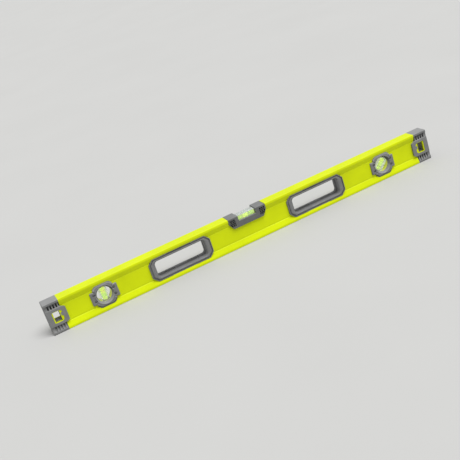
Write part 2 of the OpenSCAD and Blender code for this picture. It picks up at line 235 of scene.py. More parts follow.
def matched_box(corner, across, upright):
    """A box outline from its first-quadrant corner, with a fixed number of points along each side."""
    quads = [
        corner,
        [(-x, v) for x, v in reversed(corner)],
        [(-x, -v) for x, v in corner],
        [(x, -v) for x, v in reversed(corner)],
    ]
    out = []
    for i, quad in enumerate(quads):
        out += quad
        end, start = quad[-1], quads[(i + 1) % 4][0]
        parts = across if i % 2 == 0 else upright
        out += [between(end, start, k / parts) for k in range(1, parts)]
    return out


def arc_corner(w, h, r, steps):
    """Points round the first quadrant's corner of a w by h box with corners of radius r."""
    turn = math.pi / 2 / steps
    return [
        (w / 2 - r + r * math.cos(i * turn), h / 2 - r + r * math.sin(i * turn)) for i in range(steps + 1)
    ]


# ---- Meshes ---------------------------------------------------------------------------------


def piece_from(name, bm, slot, body=LEVEL_BODY, node=None, sharp=32, finish=None, flat_faces=False):
    """Turns a bmesh in millimetres into a finished piece of the level.

    flat_faces keeps the shading of large faces flat beside their rounded edges.
    """
    bmesh.ops.remove_doubles(bm, verts=bm.verts, dist=SAME_POINT)
    bmesh.ops.recalc_face_normals(bm, faces=bm.faces)
    mesh = bpy.data.meshes.new(name)
    bm.to_mesh(mesh)
    bm.free()
    mesh.transform(Matrix.Scale(MM, 4))
    mesh.shade_smooth()
    mesh.set_sharp_from_angle(angle=math.radians(sharp))
    piece = bpy.data.objects.new(name, mesh)
    bpy.context.scene.collection.objects.link(piece)
    mesh.materials.append(finish or FINISHES[slot])
    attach(piece, body)
    if node:
        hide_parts(node)
    if flat_faces:
        piece.modifiers.new("flat_faces", "WEIGHTED_NORMAL").keep_sharp = True
    return piece


def loft(loops):
    """A closed surface through closed loops of equal length, the last joined to the first."""
    bm = bmesh.new()
    rows = [[bm.verts.new(p) for p in loop] for loop in loops]
    count = len(loops[0])
    for a, b in zip(rows, rows[1:] + rows[:1]):
        for i in range(count):
            j = (i + 1) % count
            bm.faces.new((a[i], a[j], b[j], b[i]))
    return bm


def capped(loops):
    """A closed surface through closed loops of equal length, with a flat face on each end."""
    bm = bmesh.new()
    rows = [[bm.verts.new(p) for p in loop] for loop in loops]
    count = len(loops[0])
    for a, b in zip(rows, rows[1:]):
        for i in range(count):
            j = (i + 1) % count
            bm.faces.new((a[i], a[j], b[j], b[i]))
    bm.faces.new(rows[0][::-1])
    bm.faces.new(rows[-1])
    return bm


def prism_y(outline, y0, y1, z=MID_Z):
    """An outline run along Y; its second coordinate counts from the height z."""
    return capped([[(x, y, z + v) for x, v in outline] for y in (y0, y1)])


def box_mesh(low, high):
    """A box between two corners."""
    outline = [(low[0], low[2]), (high[0], low[2]), (high[0], high[2]), (low[0], high[2])]
    return prism_y(outline, low[1], high[1], z=0.0)


def joined(parts):
    """One bmesh that holds all the parts, which don't touch each other."""
    whole = bmesh.new()
    for part in parts:
        mesh = bpy.data.meshes.new("part")
        part.to_mesh(mesh)
        part.free()
        whole.from_mesh(mesh)
        bpy.data.meshes.remove(mesh)
    return whole


def combined(target, tool, operation):
    """target with tool added or taken away, as a new bmesh."""
    objects = []
    for bm in (target, tool):
        bmesh.ops.recalc_face_normals(bm, faces=bm.faces)
        mesh = bpy.data.meshes.new("scratch")
        bm.to_mesh(mesh)
        bm.free()
        o = bpy.data.objects.new("scratch", mesh)
        bpy.context.scene.collection.objects.link(o)
        objects.append(o)
    cut = objects[0].modifiers.new("cut", "BOOLEAN")
    cut.operation, cut.solver, cut.object = operation, "EXACT", objects[1]
    bpy.context.view_layer.update()
    made = bpy.data.meshes.new_from_object(objects[0].evaluated_get(bpy.context.evaluated_depsgraph_get()))
    out = bmesh.new()
    out.from_mesh(made)
    for o in objects:
        mesh = o.data
        bpy.data.objects.remove(o)
        bpy.data.meshes.remove(mesh)
    bpy.data.meshes.remove(made)
    return out


def minus(target, *tools):
    for tool in tools:
        target = combined(target, tool, "DIFFERENCE")
    return target


def flatten(bm):
    """Joins split vertices and merges the facets of each flat face."""
    bmesh.ops.remove_doubles(bm, verts=bm.verts, dist=SAME_POINT)
    bmesh.ops.dissolve_limit(bm, angle_limit=math.radians(0.5), verts=bm.verts, edges=bm.edges)
    bmesh.ops.recalc_face_normals(bm, faces=bm.faces)


def soften(bm, width, angle=30, segments=2):
    """Rounds every edge that is sharper than angle."""
    flatten(bm)
    limit = math.radians(angle)
    edges = [e for e in bm.edges if len(e.link_faces) == 2 and e.calc_face_angle(0) > limit]
    bmesh.ops.bevel(
        bm, geom=edges, offset=width, offset_type="OFFSET", segments=segments, profile=0.5,
        affect="EDGES", clamp_overlap=True,
    )
    return bm


# ---- Materials ------------------------------------------------------------------------------


class Tree:
    """A material's nodes, with short calls for the ones used here."""

    def __init__(self, name):
        self.material = bpy.data.materials.new(name)
        self.material.use_nodes = True
        self.nodes = self.material.node_tree.nodes
        self.links = self.material.node_tree.links
        self.surface = self.nodes["Principled BSDF"]
        self.place = self.nodes.new("ShaderNodeTexCoord").outputs["Object"]

    def put(self, value, socket):
        if isinstance(value, bpy.types.NodeSocket):
            self.links.new(value, socket)
        else:
            socket.default_value = value

    def noise(self, scale, detail=2.0, rough=0.5, stretch=None):
        n = self.nodes.new("ShaderNodeTexNoise")
        n.inputs["Scale"].default_value = scale
        n.inputs["Detail"].default_value = detail
        n.inputs["Roughness"].default_value = rough
        self.put(self.stretched(stretch) if stretch else self.place, n.inputs["Vector"])
        return n.outputs["Fac"]

    def stretched(self, factors):
        m = self.nodes.new("ShaderNodeMapping")
        m.inputs["Scale"].default_value = factors
        self.put(self.place, m.inputs["Vector"])
        return m.outputs["Vector"]

    def cells(self, scale):
        n = self.nodes.new("ShaderNodeTexVoronoi")
        n.inputs["Scale"].default_value = scale
        self.put(self.place, n.inputs["Vector"])
        return n.outputs["Distance"]

    def ranged(self, value, low, high, to_low, to_high):
        n = self.nodes.new("ShaderNodeMapRange")
        self.put(value, n.inputs["Value"])
        for key, number in (("From Min", low), ("From Max", high), ("To Min", to_low), ("To Max", to_high)):
            n.inputs[key].default_value = number
        return n.outputs["Result"]

    def math(self, operation, a, b):
        n = self.nodes.new("ShaderNodeMath")
        n.operation = operation
        self.put(a, n.inputs[0])
        self.put(b, n.inputs[1])
        return n.outputs["Value"]

    def mix(self, fac, a, b):
        n = self.nodes.new("ShaderNodeMix")
        n.data_type = "RGBA"
        self.put(fac, n.inputs["Factor"])
        self.put(a, n.inputs["A"])
        self.put(b, n.inputs["B"])
        return n.outputs["Result"]

    def upward(self):
        """How far the surface faces up, from the object's own normals."""
        n = self.nodes.new("ShaderNodeSeparateXYZ")
        self.put(self.nodes.new("ShaderNodeTexCoord").outputs["Normal"], n.inputs["Vector"])
        return n.outputs["Z"]

    def off_middle(self):
        """Distance from the level's middle plane, front to back."""
        n = self.nodes.new("ShaderNodeSeparateXYZ")
        self.put(self.place, n.inputs["Vector"])
        return self.math("ABSOLUTE", n.outputs["Y"], 0.0)

    def closeness(self, distance):
        """1 in the open and towards 0 deep in corners and recesses of the object."""
        n = self.nodes.new("ShaderNodeAmbientOcclusion")
        n.samples = 6
        n.inputs["Distance"].default_value = distance
        return n.outputs["AO"]

    def bump(self, height, strength, distance, under=None):
        n = self.nodes.new("ShaderNodeBump")
        n.inputs["Strength"].default_value = strength
        n.inputs["Distance"].default_value = distance
        self.put(height, n.inputs["Height"])
        if under is not None:
            self.put(under, n.inputs["Normal"])
        return n.outputs["Normal"]

    def finish(self, **sockets):
        for key, value in sockets.items():
            self.put(value, self.surface.inputs[key.replace("_", " ")])
        return self.material


def tone(colour, factor):
    """The colour made darker or lighter, with full alpha."""
    return tuple(min(c * factor, 1.0) for c in colour[:3]) + (1.0,)


def powder_coat():
    """Fluorescent yellow-green powder coat: fine orange peel, faint mottling and a few dust specks."""
    t = Tree("powder_coat")
    base = (0.646, 0.750, 0.003)
    mottle = t.ranged(t.noise(26, 3), 0.35, 0.65, 0.0, 1.0)
    drawn = t.ranged(t.noise(60, 3, stretch=(0.06, 1, 1)), 0.3, 0.7, 0.0, 1.0)
    colour = t.mix(mottle, tone(base, 0.96), tone(base, 1.03))
    colour = t.mix(t.math("MULTIPLY", drawn, 0.12), colour, tone(base, 0.90))
    speck = t.ranged(t.cells(520), 0.03, 0.06, 1.0, 0.0)
    rare = t.ranged(t.noise(140, 1), 0.66, 0.70, 0.0, 0.5)
    colour = t.mix(t.math("MULTIPLY", speck, rare), colour, (0.30, 0.36, 0.02, 1))
    # Painted shade: darker in corners and recesses, from an ambient occlusion mask.
    shade_in_corners = t.ranged(t.closeness(0.0025), 0.25, 0.8, 0.40, 0.0)
    colour = t.mix(shade_in_corners, colour, (0.36, 0.42, 0.004, 1))
    peel = t.bump(t.noise(900, 2), 0.10, 0.0002)
    grain = t.bump(t.noise(3800, 2), 0.10, 0.00008, under=peel)
    rough = t.ranged(t.noise(320, 3), 0.3, 0.7, 0.34, 0.46)
    return t.finish(Base_Color=colour, Roughness=rough, Normal=grain, Specular_IOR_Level=0.12)


def moulded(
    name, base, rough, grain, scuff, shine=0.5, glow=0.0, corner_shade=0.7, near=0.005,
    top_highlight=0.0, ledge=(0.80, 0.98), under=0.0, inside=0.0, depths=(0.002, 0.0068),
):
    """Spark-eroded plastic or rubber, with rubbed patches (scuff).

    The corner shade amount paints shade into corners closer than near, the top highlight amount paints
    a highlight where the surface faces up by ledge, under paints shade on what faces down, inside paints
    shade on what lies nearer the level's middle plane than depths, and glow is painted light that makes
    the surface light itself.
    """
    t = Tree(name)
    mottle = t.ranged(t.noise(70, 3), 0.35, 0.65, 0.0, 1.0)
    colour = t.mix(mottle, tone(base, 0.92), tone(base, 1.07))
    rubbed = t.ranged(t.noise(210, 4, 0.65), 0.58, 0.72, 0.0, scuff)
    colour = t.mix(rubbed, colour, tone(base, 1.45))
    # Painted shade: darker in corners and recesses, from an ambient occlusion mask.
    deep = t.ranged(t.closeness(near), 0.2, 0.85, corner_shade, 0.0)
    colour = t.mix(deep, colour, tone(base, 0.36))
    # Painted highlight: lighter, a little unevenly, where the surface faces up.
    if top_highlight:
        top_lit = t.ranged(t.upward(), *ledge, 0.0, top_highlight)
        top_lit = t.math("MULTIPLY", top_lit, t.ranged(mottle, 0, 1, 0.8, 1))
        colour = t.mix(top_lit, colour, tone(base, 1.9))
    # Painted shade: darker where the surface faces down.
    if under:
        colour = t.mix(t.ranged(t.upward(), -0.32, -0.10, under, 0.0), colour, tone(base, 0.25))
    # Painted shade: darker nearer the level's middle plane, deep inside holes and tunnels.
    if inside:
        colour = t.mix(t.ranged(t.off_middle(), *depths, inside, 0.0), colour, tone(base, 0.25))
    pits = t.bump(t.noise(2600, 3, 0.6), grain, 0.00012)
    soft = t.bump(t.noise(420, 2), 0.10, 0.0003, under=pits)
    roughness = t.ranged(t.noise(300, 2), 0.3, 0.7, *rough)
    # Emission, set by glow, is painted light: the surface lights itself by its own colour.
    return t.finish(
        Base_Color=colour, Roughness=roughness, Normal=soft, Specular_IOR_Level=shine,
        Emission_Color=colour, Emission_Strength=glow,
    )


def acrylic():
    """Machined acrylic, a little milky, with faint tool marks."""
    t = Tree("acrylic")
    marks = t.bump(t.noise(900, 2, stretch=(1, 1, 0.1)), 0.05, 0.0001)
    haze = t.ranged(t.noise(300, 2), 0.3, 0.7, 0.03, 0.09)
    return t.finish(
        Base_Color=(0.93, 0.96, 0.88, 1), Roughness=haze, IOR=1.12, Transmission_Weight=0.70, Normal=marks,
        Coat_Weight=0.7, Coat_Roughness=0.06,
    )


def frosted(name, base, clear, glow):
    """The sawn, matt faces of an acrylic block; glow is painted light that makes them light up a little."""
    t = Tree(name)
    saw = t.noise(1500, 3, stretch=(1, 1, 0.15))
    colour = t.mix(t.ranged(saw, 0.3, 0.7, 0.0, 1.0), tone(base, 0.93), tone(base, 1.07))
    marks = t.bump(saw, 0.2, 0.0001)
    return t.finish(
        Base_Color=colour, Roughness=0.45, IOR=1.2, Transmission_Weight=clear, Normal=marks,
        Emission_Color=colour, Emission_Strength=glow,
    )


def vial_liquid():
    """Bright green-yellow fluid with soft paler clouds, and a little painted glow."""
    t = Tree("vial_liquid")
    cloud = t.ranged(t.noise(160, 3), 0.35, 0.65, 0.0, 1.0)
    colour = t.mix(cloud, (0.52, 0.90, 0.02, 1), (0.76, 0.86, 0.03, 1))
    ripple = t.bump(t.noise(500, 1), 0.05, 0.0002)
    return t.finish(
        Base_Color=colour, Roughness=0.06, IOR=1.16, Transmission_Weight=0.62, Normal=ripple,
        Emission_Color=colour, Emission_Strength=0.34,
    )


def bubble_air():
    """A pale, thin-walled bubble with a painted glow."""
    t = Tree("bubble")
    cloud = t.ranged(t.noise(300, 2), 0.4, 0.6, 0.0, 1.0)
    colour = t.mix(cloud, (0.94, 0.86, 0.20, 1), (1.0, 0.92, 0.28, 1))
    return t.finish(
        Base_Color=colour, Roughness=0.06, IOR=1.3, Emission_Color=colour, Emission_Strength=0.75,
        Normal=t.bump(t.noise(420, 1), 0.05, 0.0002),
    )


def ink():
    """Black ink, worn thin in places."""
    t = Tree("line_ink")
    wear = t.ranged(t.noise(900, 3), 0.5, 0.7, 0.0, 0.5)
    colour = t.mix(wear, (0.008, 0.008, 0.008, 1), (0.05, 0.055, 0.03, 1))
    return t.finish(Base_Color=colour, Roughness=0.5, Normal=t.bump(t.noise(2000, 2), 0.1, 0.0001))


def black_steel():
    """Black-oxide screw steel, worn to bright metal in places."""
    t = Tree("screw_steel")
    wear = t.ranged(t.noise(700, 4, 0.7), 0.55, 0.72, 0.0, 0.8)
    colour = t.mix(wear, (0.14, 0.14, 0.143, 1), (0.40, 0.40, 0.39, 1))
    rough = t.ranged(t.noise(1200, 2), 0.3, 0.7, 0.28, 0.48)
    grain = t.bump(t.noise(2600, 2), 0.2, 0.0001)
    return t.finish(Base_Color=colour, Metallic=1.0, Roughness=rough, Normal=grain)


CAP_GREY = (0.188, 0.190, 0.189)
GRIP_GREY = (0.172, 0.174, 0.175)
COVER_GREY = (0.180, 0.182, 0.184)
HOLDER_GREY = (0.115, 0.118, 0.116)
CORE_YELLOW = (0.66, 0.74, 0.004)
SLEEVE_YELLOW = (0.60, 0.66, 0.05)
PLUG_YELLOW = (0.66, 0.66, 0.16)
# The moulded finishes below paint shade into corners, a highlight on what faces up, and shade on what faces
# down or lies deep inside; the sleeve and the frosted sides glow as painted light.
FINISHES = {
    "rail_coat": powder_coat(),
    "cap_rubber": moulded(
        "cap_rubber", CAP_GREY, (0.5, 0.66), 0.30, 0.20, corner_shade=0.5, top_highlight=0.45, ledge=(0.12, 0.36),
        under=0.55,
    ),
    "core_plastic": moulded(
        "core_plastic", CORE_YELLOW, (0.36, 0.5), 0.12, 0.10, shine=0.12,
        inside=0.8, depths=(0.0085, 0.0112),
    ),
    "grip_plastic": moulded(
        "grip_plastic", GRIP_GREY, (0.45, 0.6), 0.22, 0.22, under=0.3, inside=0.85,
    ),
    "cover_plastic": moulded(
        "cover_plastic", COVER_GREY, (0.42, 0.56), 0.20, 0.18, corner_shade=0.35, top_highlight=0.55, ledge=(0.08, 0.30),
        under=0.85,
    ),
    "holder_plastic": moulded(
        "holder_plastic", HOLDER_GREY, (0.40, 0.55), 0.20, 0.20, corner_shade=0.95, near=0.003, top_highlight=0.7,
    ),
    "acrylic": acrylic(),
    "frost": frosted("frosted_sides", (0.76, 0.80, 0.84), 0.05, 0.26),
    "frost_top": frosted("frosted_top", (0.72, 0.75, 0.74), 0.50, 0.0),
    "sleeve": moulded("sleeve_plastic", SLEEVE_YELLOW, (0.36, 0.5), 0.12, 0.10, glow=0.16, corner_shade=0.1),
    "liquid": vial_liquid(),
    "bubble": bubble_air(),
    "plug_plastic": moulded("plug_plastic", PLUG_YELLOW, (0.4, 0.5), 0.1, 0.1),
    "line_ink": ink(),
    "screw_steel": black_steel(),
}


# ---- Rail and end caps ----------------------------------------------------------------------


def refined(node, name, slot, width, angle=30, outer=None):
    """A CAD node's own shape with its facets merged and its edges rounded.

    outer is (half length, width): the edges on that end plane get a larger round of their own.
    """
    bm = bmesh.new()
    bm.from_mesh(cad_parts[node].data)
    bmesh.ops.transform(bm, matrix=Matrix.Scale(1 / MM, 4), verts=bm.verts)
    flatten(bm)
    if outer:
        at, wide = outer
        edges = [e for e in bm.edges if all(abs(abs(v.co.x) - at) < ON_PLANE for v in e.verts)]
        bmesh.ops.bevel(
            bm, geom=edges, offset=wide, offset_type="OFFSET", segments=4, profile=0.5, affect="EDGES",
            clamp_overlap=True,
        )
    soften(bm, width, angle)
    return piece_from(name, bm, slot, node=node, flat_faces=True)


END_ROUND = 2.2
HALF_LENGTH = span("right_end_cap")[1].x
refined("frame_rail", "rail", "rail_coat", 0.3, angle=14)
for end in ("left", "right"):
    refined(f"{end}_end_cap", f"{end}_cap", "cap_rubber", 0.35, outer=(HALF_LENGTH, END_ROUND))
    refined(f"{end}_cap_core", f"{end}_core", "core_plastic", 0.3)
    refined(f"{end}_hang_bush", f"{end}_bush", "cap_rubber", 0.25)

# ---- Hand grips -----------------------------------------------------------------------------

GRIP_CUT, GRIP_CORNER_R = 9.5, 2.2
HAND_L, HAND_H, HAND_R = 98.4, 31.0, 6.0
TUNNEL_WALL, SEAM_Y = 2.0, 0.05
TUNNEL_DEPTHS = (5.5, 8.0)
RIDGES, RIDGE_PITCH, RIDGE_R, RIDGE_SINK, RIDGE_GROUP_X = 8, 2.8, 1.1, 0.15, 24.0
WAIST_HALF, WAIST_EASE, WAIST_DROP = 25.0, 2.0, 0.9
ACROSS, UPRIGHT, CORNER = 170, 24, 12

# The rim: how far it lies below the crown's top, then (distance in from the edge, depth below it)
RIM_SINK = 0.35
RIM_EDGE = 0.45
RIM = [(0.12, 0.14), (0.45, 0.0), (1.0, 0.0), (1.25, 0.2), (1.5, 1.6), (3.1, 1.6)]

# The crown, from the groove inside the rim to the hand hole: (share of the way, drop below its top)
CROWN_START = 3.4
CROWN = [
    (0.00, 1.80), (0.02, 0.75), (0.08, 0.25), (0.20, 0.03), (0.36, 0.00), (0.52, 0.07),
    (0.65, 0.22), (0.76, 0.50), (0.85, 0.95), (0.92, 1.55), (0.965, 2.3), (0.99, 3.2),
]
VALLEY_SHARE = 0.8


def ridge_height(x):
    """Height of the finger ridges above the hand hole's lower wall at x."""
    for side in (-1, 1):
        for i in range(RIDGES):
            off = abs(x - side * RIDGE_GROUP_X - (i - (RIDGES - 1) / 2) * RIDGE_PITCH)
            if off < RIDGE_R:
                return max(math.sqrt(RIDGE_R**2 - off**2) - RIDGE_SINK, 0.0)
    return 0.0


def valley_depth(x):
    """How far the crown drops between the finger ridges at x."""
    reach = RIDGES / 2 * RIDGE_PITCH
    off = abs(abs(x) - RIDGE_GROUP_X)
    return (RIDGE_R - RIDGE_SINK - ridge_height(x)) * (1 - smoothstep(reach - 1.0, reach, off))


def low_side(v):
    """1 on the hand hole's lower long side and 0 elsewhere."""
    return smoothstep(HAND_H / 2 - 1.2, HAND_H / 2 - 0.4, -v)


def waist(p):
    """1 in the middle of the flange's long edges, where it drops back, and 0 elsewhere."""
    on_long_edge = smoothstep(HAND_H / 2 + 1.5, HAND_H / 2 + 3, abs(p[1]))
    return on_long_edge * (1 - smoothstep(WAIST_HALF - WAIST_EASE, WAIST_HALF, abs(p[0])))


def ridged(outline):
    """The outline with the ridges raised on its lower long side."""
    return [(x, v + low_side(v) * ridge_height(x)) for x, v in outline]


def grip_half(name, node):
    """One half of a hand grip: a flange with a rim and a crown, and half of the tunnel's lining."""
    low, high = span(node)
    length, height = high.x - low.x, high.z - low.z
    cx, front, face = side_of(node)
    flange = matched_box(corner_path(length, height, GRIP_CUT, GRIP_CORNER_R, CORNER), ACROSS, UPRIGHT)
    hole = matched_box(arc_corner(HAND_L, HAND_H, HAND_R, CORNER), ACROSS, UPRIGHT)
    wall = 2 * TUNNEL_WALL
    outer_corner = arc_corner(HAND_L + wall, HAND_H + wall, HAND_R + TUNNEL_WALL, CORNER)
    outer = matched_box(outer_corner, ACROSS, UPRIGHT)
    loops = []

    def add(outline, depth):
        loops.append(facing(outline, depth, cx, front))

    def rim_at(below):
        return lambda p: max(face - RIM_SINK - below - WAIST_DROP * waist(p), rail_side(p[1]) + 0.15)

    def crown_at(drop, amount):
        """amount is how much of the valleys between the ridges is carved at this loop."""
        carved = VALLEY_SHARE * amount
        return lambda p: face - drop - carved * low_side(p[1]) * valley_depth(p[0])

    add(flange, on_rail)
    add(flange, rim_at(RIM_EDGE))
    for distance, below in RIM:
        add(inset(flange, distance), rim_at(below))
    ring = inset(flange, CROWN_START)
    for t, drop in CROWN:
        add(blended(ring, hole, t), crown_at(drop, smoothstep(0.08, 0.4, t)))
    for depth in [face - drop for drop in TUNNEL_DEPTHS] + [2.0, 0.5]:
        add(ridged(hole), depth)
    add(ridged(inset(hole, -0.25)), SEAM_Y)
    add(outer, SEAM_Y)
    add(outer, on_rail)
    for t in (0.3, 0.65):
        add(blended(outer, flange, t), on_rail)
    piece_from(name, loft(loops), "grip_plastic", node=node, sharp=38)


for end in ("left", "right"):
    for face in ("front", "back"):
        grip_half(f"{end}_hand_grip_{face}", f"{end}_grip_{face}")

# ---- Plumb and angle vials ------------------------------------------------------------------

COVER_QUARTER = [(25.6, 12.2), (18.6, 12.2), (18.6, 15.2), (15.2, 20.0), (11.7, 21.6)]
COVER_CORNER_R = 1.1
WINDOW_R, HUB_R = 13.8, 18.0
SLEEVE_R, SLEEVE_Y = 15.4, 6.3
BLOCK_W, BLOCK_D, BLOCK_L = 14.4, 11.4, 31.0
BLOCK_GAP = 0.05
EAR_DROP, RING_H, RING_R = 0.8, 0.2, 18.1

# The bevel round the cover is wide and low on the octagon (x up to 15.5), narrow and tall on the ears
BEVEL_X = (15.5, 20.0)
BEVEL_SHARES = (0.13, 0.06)
BEVEL_FEET = (2.4, 0.7)

# The window's funnel and a screw's pocket: (radius, drop below the cover's face)
FUNNEL = [(RING_R, 0.0), (17.2, 0.0), (16.9, 0.08), (16.7, 0.3), (16.55, 0.7)]
SCREW_X, SCREW_V, POCKET_R, POCKET_D = 18.9, 6.2, 2.1, 1.6
POCKET = [
    (POCKET_R, POCKET_D), (POCKET_R, 1.3), (POCKET_R + 0.25, 1.0), (POCKET_R + 0.8, 0.55),
    (POCKET_R + 1.15, 0.1), (POCKET_R + 1.15, -1.0),
]

# Screws; the head is (radius, height above its seat)
HEAD_R, SHANK_R, SHANK_HOLE_R, SOCKET_R = 1.8, 1.1, 1.2, 0.9
THREAD_L, THREAD_PITCH, THREAD_DEPTH = 6.0, 0.45, 0.22
SCREW_HEAD = [
    (SHANK_R, -0.05), (HEAD_R - 0.1, 0.0), (HEAD_R, 0.12), (HEAD_R, 0.55), (HEAD_R - 0.15, 0.8),
    (HEAD_R - 0.5, 1.04), (1.15, 1.1), (1.0, 1.04),
]


def leaning(lean, centre):
    """Turns upright shapes by lean about the middle of the vial, towards +X."""
    middle = Matrix.Translation(Vector(centre))
    return middle @ Matrix.Rotation(math.radians(lean), 4, "Y") @ middle.inverted()


def block_slot(cx, lean):
    """The space that the acrylic block fills, with its clearance."""
    half = Vector((BLOCK_W, BLOCK_D, BLOCK_L)) / 2 + Vector((BLOCK_GAP, BLOCK_GAP, BLOCK_GAP))
    centre = Vector((cx, 0, MID_Z))
    slot = box_mesh(centre - half, centre + half)
    bmesh.ops.transform(slot, matrix=leaning(lean, centre), verts=slot.verts)
    return slot


def screw_cutters(cx, front, face):
    """Tools that cut the four screw pockets of a cover and the holes for the shanks."""
    pockets, shanks = [], []
    for sx in (-1, 1):
        for sv in (-1, 1):
            at = (sx * SCREW_X, sv * SCREW_V)
            mouth = [facing(circle(r, 32, at), face - drop, cx, front) for r, drop in POCKET]
            pockets.append(capped(mouth))
            hole = circle(SHANK_HOLE_R, 20, at)
            ends = (WEB_Y - 1, face - POCKET_D + 0.5)
            shanks.append(capped([facing(hole, y, cx, front) for y in ends]))
    return joined(pockets), joined(shanks)


def vial_cover(name, node, lean):
    """A round-window cover: bevelled octagon with ears, funnel, hub in the web and seat for the sleeve."""
    cx, front, face = side_of(node)
    outline = dense(rounded(four_way(COVER_QUARTER), COVER_CORNER_R, 4), 0.7)
    angles = [math.atan2(v, x) for x, v in outline]
    loops = []

    def add(points, depth):
        loops.append(facing(points, depth, cx, front))

    def on_ear(x):
        """0 on the octagon and 1 out on the ears."""
        return smoothstep(*BEVEL_X, abs(x))

    def shrunk(share):
        """The outline drawn in towards the window by a share of the bevel's width."""
        scales = [1 - share * lerp(*BEVEL_SHARES, on_ear(x)) for x, v in outline]
        return [(x * k, v * k) for (x, v), k in zip(outline, scales)]

    def ring(r):
        return [(r * math.cos(a), r * math.sin(a)) for a in angles]

    def top(p):
        """The front surface, which is lower on the ears than round the window."""
        off = math.degrees(math.atan2(abs(p[1]), abs(p[0])))
        return face - lerp(EAR_DROP, RING_H, smoothstep(33.0, 38.0, off))

    def edge(p):
        """The foot of the bevel."""
        foot = lerp(*BEVEL_FEET, on_ear(p[0]))
        return max(top(p) - foot, rail_side(p[1]) + 0.12)

    def rise(share):
        return lambda p: lerp(edge(p), top(p), share)

    add(outline, on_rail)
    add(outline, edge)
    for share, height in ((0.04, 0.12), (0.5, 0.56), (0.94, 0.98)):
        add(shrunk(share), rise(height))
    add(shrunk(1.0), top)
    ring_foot = ring(RING_R + 0.45)
    add(blended(shrunk(1.0), ring_foot, 0.5), top)
    add(ring_foot, top)
    add(ring(RING_R + 0.15), lambda p: lerp(top(p), face, 0.8))
    for r, drop in FUNNEL:
        add(ring(r), face - drop)
    funnel_end, seat = SLEEVE_Y + 0.55, SLEEVE_R + FIT_GAP
    inner = [
        (WINDOW_R + 0.5, funnel_end + 0.75), (WINDOW_R + 0.15, funnel_end + 0.25), (WINDOW_R, funnel_end),
        (WINDOW_R, SLEEVE_Y + 0.1), (seat, SLEEVE_Y + 0.1), (seat, SEAM_Y), (HUB_R, SEAM_Y),
        (HUB_R, WEB_Y + FIT_GAP),
    ]
    for r, y in inner:
        add(ring(r), y)
    add(blended(ring(HUB_R), outline, 0.55), on_rail)
    pockets, shanks = screw_cutters(cx, front, face)
    body = minus(loft(loops), pockets, shanks, block_slot(cx, lean))
    piece_from(name, body, "cover_plastic", node=node, sharp=30, flat_faces=True)


def turned(profile, steps, place):
    """A closed solid of revolution about local Z from (radius, height) points, put at place."""
    loops = [[(r * math.cos(2 * math.pi * i / steps), r * math.sin(2 * math.pi * i / steps), h)
              for i in range(steps)] for r, h in profile]
    bm = capped(loops)
    bmesh.ops.transform(bm, matrix=place, verts=bm.verts)
    return bm


def bubble_profile(r, half, tip):
    """A bubble's (radius, height) points: a straight middle with a rounded end, tip long, on each side."""
    angles = [math.radians(degrees) for degrees in range(0, 86, 8)]
    end = [(r * math.cos(a), half - tip + tip * math.sin(a)) for a in angles]
    return [(x, -h) for x, h in reversed(end)] + end


FROST_T = 0.3


def vial_inside(vial, place, block_low, block_high, bore_r, half, frost_finish):
    """The acrylic block, its two frosted faces and its liquid column.

    place takes local Z to the bore's axis; the faces that local X points to and from are the frosted ones.
    """
    skin = Vector((FROST_T, 0, 0))
    block = soften(box_mesh(block_low + skin, block_high - skin), 0.35, segments=3)
    bore = turned([(bore_r, -half - 0.1), (bore_r, half + 0.1)], 48, Matrix.Identity(4))
    block = minus(block, bore)
    bmesh.ops.transform(block, matrix=place, verts=block.verts)
    piece_from(f"{vial}_acrylic", block, "acrylic", node=f"{vial}_vial_block", sharp=30)
    thick = Vector((FROST_T - 0.02, 0, 0))
    reach = block_high - block_low
    plates = [
        box_mesh(block_low, block_high - Vector((reach.x, 0, 0)) + thick),
        box_mesh(block_low + Vector((reach.x, 0, 0)) - thick, block_high),
    ]
    frost = joined([soften(plate, 0.1) for plate in plates])
    bmesh.ops.transform(frost, matrix=place, verts=frost.verts)
    piece_from(f"{vial}_frosted_faces", frost, "acrylic", finish=FINISHES[frost_finish])
    r = bore_r + 0.02
    end = [(r, half - 0.5), (r - 0.1, half - 0.12), (r - 0.5, half)]
    column = turned([(x, -h) for x, h in reversed(end)] + end, 48, place)
    piece_from(f"{vial}_fluid", column, "liquid", node=f"{vial}_vial_liquid", sharp=40)


def ring_mesh(r_in, r_out, low, high, place, ease=0.0):
    """A ring about local Z with eased edges, put at place."""
    profile = [
        (r_in, low + ease), (r_in, high - ease), (r_in + ease, high), (r_out - ease, high),
        (r_out, high - ease), (r_out, low + ease), (r_out - ease, low), (r_in + ease, low),
    ]
    profile = without_repeats(profile)
    bm = loft([[(x, y, h) for x, y in circle(r)] for r, h in profile])
    bmesh.ops.transform(bm, matrix=place, verts=bm.verts)
    return bm


LINE_HALF, LINE_DEEP = 0.23, 0.33
BUBBLE_TIP = 2.4


